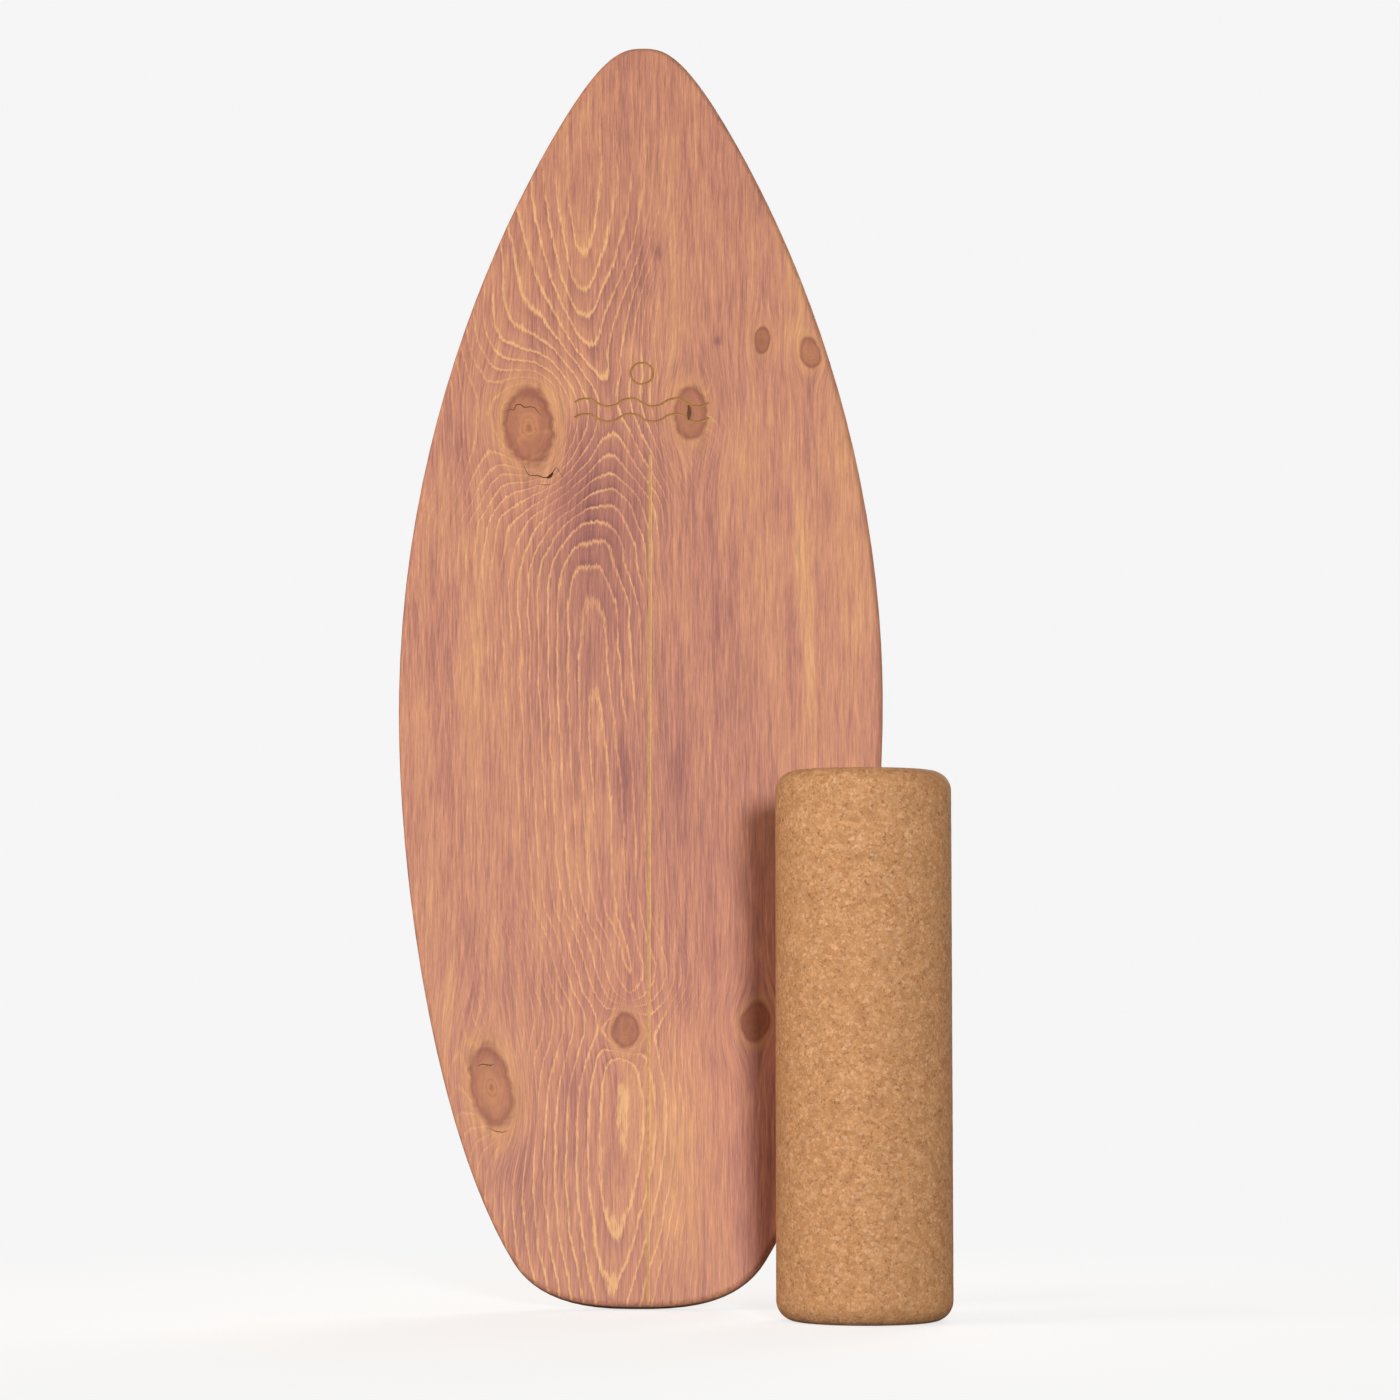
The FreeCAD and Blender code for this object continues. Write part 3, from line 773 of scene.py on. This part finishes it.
def cork_roller():
    """The turned roller: a half outline with quarter-round rims, carried round the axis. Each point
    is drawn inwards by a pit depth, a sum of random bumps on a coarse and a fine lattice."""
    rounds = 260               # 1.2 mm apart
    end = np.linspace(0.0, ROLLER_RADIUS - ROLLER_RIM, 24)[:-1]
    turn = np.radians(np.linspace(0.0, 90.0, 13))
    wall = np.linspace(ROLLER_RIM, ROLLER_LENGTH - ROLLER_RIM, 236)[1:-1]
    rim_r = ROLLER_RADIUS - ROLLER_RIM + ROLLER_RIM * np.sin(turn)
    rim_z = ROLLER_RIM - ROLLER_RIM * np.cos(turn)
    r = np.concatenate([end, rim_r, np.full(wall.size, ROLLER_RADIUS), rim_r[::-1], end[::-1]])
    z = np.concatenate([end * 0, rim_z, wall, (ROLLER_LENGTH - rim_z)[::-1], end * 0 + ROLLER_LENGTH])
    walked = np.concatenate([[0.0], np.cumsum(np.hypot(np.diff(r), np.diff(z)))])
    random = np.random.default_rng(11)
    depth = np.zeros((r.size, rounds))
    for lattice, height in ROLLER_PITS:
        turns = int(round(2 * math.pi * ROLLER_RADIUS / lattice))
        steps = int(walked[-1] / lattice) + 3
        heights = random.random((steps, turns))
        at = walked / lattice
        about = np.arange(rounds) / rounds * turns
        i0 = at.astype(int)
        j0 = about.astype(int)
        fi = (at - i0)[:, None]
        fj = (about - j0)[None, :]
        fi = fi * fi * (3 - 2 * fi)
        fj = fj * fj * (3 - 2 * fj)
        j1 = (j0 + 1) % turns
        low = heights[i0][:, j0] * (1 - fj) + heights[i0][:, j1] * fj
        high = heights[i0 + 1][:, j0] * (1 - fj) + heights[i0 + 1][:, j1] * fj
        depth += height * (low * (1 - fi) + high * fi)
    on_wall = (r > ROLLER_RADIUS - ROLLER_RIM)[:, None]
    reach = r[:, None] - depth * on_wall
    angle = np.arange(rounds) / rounds * 2 * math.pi
    x = ROLLER_X + reach * np.cos(angle)
    y = ROLLER_Y + reach * np.sin(angle)
    up = ROLLER_LOW.z + z[:, None] + 0 * x
    points = np.column_stack([x.ravel(), y.ravel(), up.ravel()])
    i = np.arange(r.size - 1)[:, None] * rounds
    j = np.arange(rounds)[None, :]
    after = (j + 1) % rounds
    faces = np.stack([i + j, i + after, i + rounds + after, i + rounds + j], -1).reshape(-1, 4).tolist()
    made = new_mesh("roller_cork", points, faces, merge=1e-7)
    made.data.shade_smooth()
    return made


GRANULE = 2.25                 # mm across
CRUMB = 1.1                    # the small ones between them
GRANULE_BEND = 2.2             # how far a granule's outline wanders, twice over
GRANULE_TANS = [(0.0, "#B27A4D"), (0.25, "#C38C5B"), (0.6, "#D09A69"), (0.88, "#DAA577"), (1.0, "#E0B18A")]
# The first of the crumbs' colours is a speck of bark.
CRUMB_TANS = [(0.0, "#774C30"), (0.06, "#9A6C46"), (0.11, "#C28E60"), (0.93, "#D09C6E"), (1.0, "#E0B795")]


def pressed_cork():
    """Agglomerated cork: granules 1 to 3 mm across, each its own tan, with dark bark specks and
    darker seams of binder between them. Matt, slightly soft."""
    material, tree, shader = new_material("pressed_cork")
    place = add(tree, "TexCoord").outputs["Object"]
    bend = add(tree, "TexNoise", {"Vector": place, "Scale": 1 / (3.8 * MM), "Detail": 2.0})
    bent = add(tree, "VectorMath", {0: bend.outputs["Color"], 1: [GRANULE_BEND * MM] * 3, 2: place},
               operation="MULTIPLY_ADD")
    granule = add(tree, "TexVoronoi", {"Vector": bent, "Scale": 1 / (GRANULE * MM)}, feature="F1")
    seam = add(tree, "TexVoronoi", {"Vector": bent, "Scale": 1 / (GRANULE * MM)}, feature="DISTANCE_TO_EDGE")
    crumb = add(tree, "TexVoronoi", {"Vector": bent, "Scale": 1 / (CRUMB * MM)}, feature="F1")
    tint = add(tree, "SeparateColor", {0: granule.outputs["Color"]})
    tiny = add(tree, "SeparateColor", {0: crumb.outputs["Color"]})
    tan = add(tree, "ValToRGB", {0: tint.outputs[0]}, ramp=GRANULE_TANS)
    crumbs = add(tree, "ValToRGB", {0: tiny.outputs[1]}, ramp=CRUMB_TANS)
    colour = add(tree, "Mix", {0: 0.45, 6: tan, 7: crumbs}, data_type="RGBA")
    edge = add(tree, "MapRange", {0: seam, 1: 0.0, 2: 0.09, 3: 0.35, 4: 0.0})
    colour = add(tree, "Mix", {0: edge, 6: colour.outputs[2], 7: linear("#8E6038")}, data_type="RGBA")
    cluster = add(tree, "TexNoise", {"Vector": place, "Scale": 1 / (8 * MM), "Detail": 3.0})
    packed = add(tree, "MapRange", {0: cluster, 1: 0.3, 2: 0.7, 3: 0.90, 4: 1.10})
    colour = add(tree, "VectorMath", {0: colour.outputs[2], "Scale": packed}, operation="SCALE")
    tree.links.new(colour.outputs[0], shader.inputs["Base Color"])
    rough = add(tree, "TexNoise", {"Vector": place, "Scale": 1 / (CRUMB * MM), "Detail": 3.0})
    height = add(tree, "Math", {0: edge, 1: -1.0, 2: rough}, operation="MULTIPLY_ADD")
    bump = add(tree, "Bump", {"Strength": 0.35, "Distance": 0.0004, "Height": height})
    tree.links.new(bump.outputs[0], shader.inputs["Normal"])
    shader.inputs["Roughness"].default_value = 0.85
    shader.inputs["Specular IOR Level"].default_value = 0.25
    return material


roller = cork_roller()
roller.data.materials.append(pressed_cork())
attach(roller, "roller")
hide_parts("cork_roller")


# ---- Stage, light and camera --------------------------------------------------------------------
# Pale studio paper under three softboxes: a small key beside the camera, a wide warm fill from the
# left, and a cool one from behind. Near the object the paper takes their shadows; farther out it
# glows evenly.

FLOOR_REACH = 40               # metres each way
floor_mesh = bpy.data.meshes.new("floor")
floor_corners = [(x * FLOOR_REACH, y * FLOOR_REACH, 0) for x, y in ((-1, -1), (1, -1), (1, 1), (-1, 1))]
floor_mesh.from_pydata(floor_corners, [], [(0, 1, 2, 3)])
floor = bpy.data.objects.new("floor", floor_mesh)
bpy.context.scene.collection.objects.link(floor)
PAPER_WHITE = 0.92             # sRGB 246
PAPER_BOUNCE = 0.30            # what the floor gives back to the object
PAPER_SHADOW = 0.40            # how much of the seen floor is lit by the lamps, and so takes shadows
PAPER_GLOW = 0.70              # and how much near the object isn't
paper, paper_tree, paper_shader = new_material("pale_paper")
paper_shader.inputs["Base Color"].default_value = [PAPER_BOUNCE] * 3 + [1.0]
paper_shader.inputs["Roughness"].default_value = 0.9
paper_shader.inputs["Specular IOR Level"].default_value = 0.0
lit = add(paper_tree, "BsdfDiffuse", {"Color": [PAPER_SHADOW] * 3 + [1.0]})
base = add(paper_tree, "Emission", {"Strength": PAPER_GLOW})
near = add(paper_tree, "AddShader", {0: lit, 1: base})
far = add(paper_tree, "Emission", {"Strength": PAPER_WHITE})
away = add(paper_tree, "VectorMath", {0: add(paper_tree, "TexCoord").outputs["Object"]}, operation="LENGTH")
fade = add(paper_tree, "MapRange", {0: away.outputs["Value"], 1: 0.15, 2: 0.8},
           interpolation_type="SMOOTHSTEP")
sweep = add(paper_tree, "MixShader", {0: fade, 1: near, 2: far})
shown = add(paper_tree, "MixShader", {0: add(paper_tree, "LightPath"), 1: paper_shader, 2: sweep})
paper_tree.links.new(shown.outputs[0], paper_tree.nodes["Material Output"].inputs["Surface"])
floor.data.materials.append(paper)

WARM_WALLS = (0.20, 0.145, 0.092, 1.0)     # what the room gives back to the object
world = bpy.data.worlds.new("studio")
bpy.context.scene.world = world
world.use_nodes = True
sky_tree = world.node_tree
seen = add(sky_tree, "LightPath").outputs["Is Camera Ray"]
sky = add(sky_tree, "Mix", {0: seen, 6: WARM_WALLS, 7: [PAPER_WHITE] * 3 + [1.0]}, data_type="RGBA")
sky_tree.links.new(sky.outputs[2], sky_tree.nodes["Background"].inputs["Color"])


def softbox(name, place, aim, size, power, tint=(1.0, 1.0, 1.0)):
    """A square area light at a place, turned towards an aim."""
    light = bpy.data.lights.new(name, "AREA")
    light.size = size
    light.energy = power
    light.color = tint
    lamp = bpy.data.objects.new(name, light)
    direction = np.array(aim) - np.array(place)
    lamp.rotation_euler = Vector(direction).to_track_quat("-Z", "Y").to_euler()
    lamp.location = place
    bpy.context.scene.collection.objects.link(lamp)


softbox("key", (0.50, -3.0, 0.60), (0.05, 0.0, 0.35), 0.38, 61.0, (0.975, 1.01, 1.04))
softbox("fill", (-2.3, -0.95, 0.9), (0.0, 0.0, 0.35), 1.4, 34.0, (1.0, 0.94, 0.915))
softbox("back", (0.95, 2.5, 1.4), (0.0, 0.0, 0.35), 1.6, 46.0, (0.93, 1.0, 1.08))

camera_data = bpy.data.cameras.new("camera")
camera_data.sensor_width = 36.0
camera_data.lens = 105.2
camera_data.clip_start = 0.05
camera = bpy.data.objects.new("camera", camera_data)
camera.location = (0.0364, -2.464, 0.172)
camera.rotation_euler = (math.radians(90.0 + 4.475), 0.0, 0.0)
bpy.context.scene.collection.objects.link(camera)
bpy.context.scene.camera = camera
bpy.context.scene.view_settings.view_transform = "Standard"
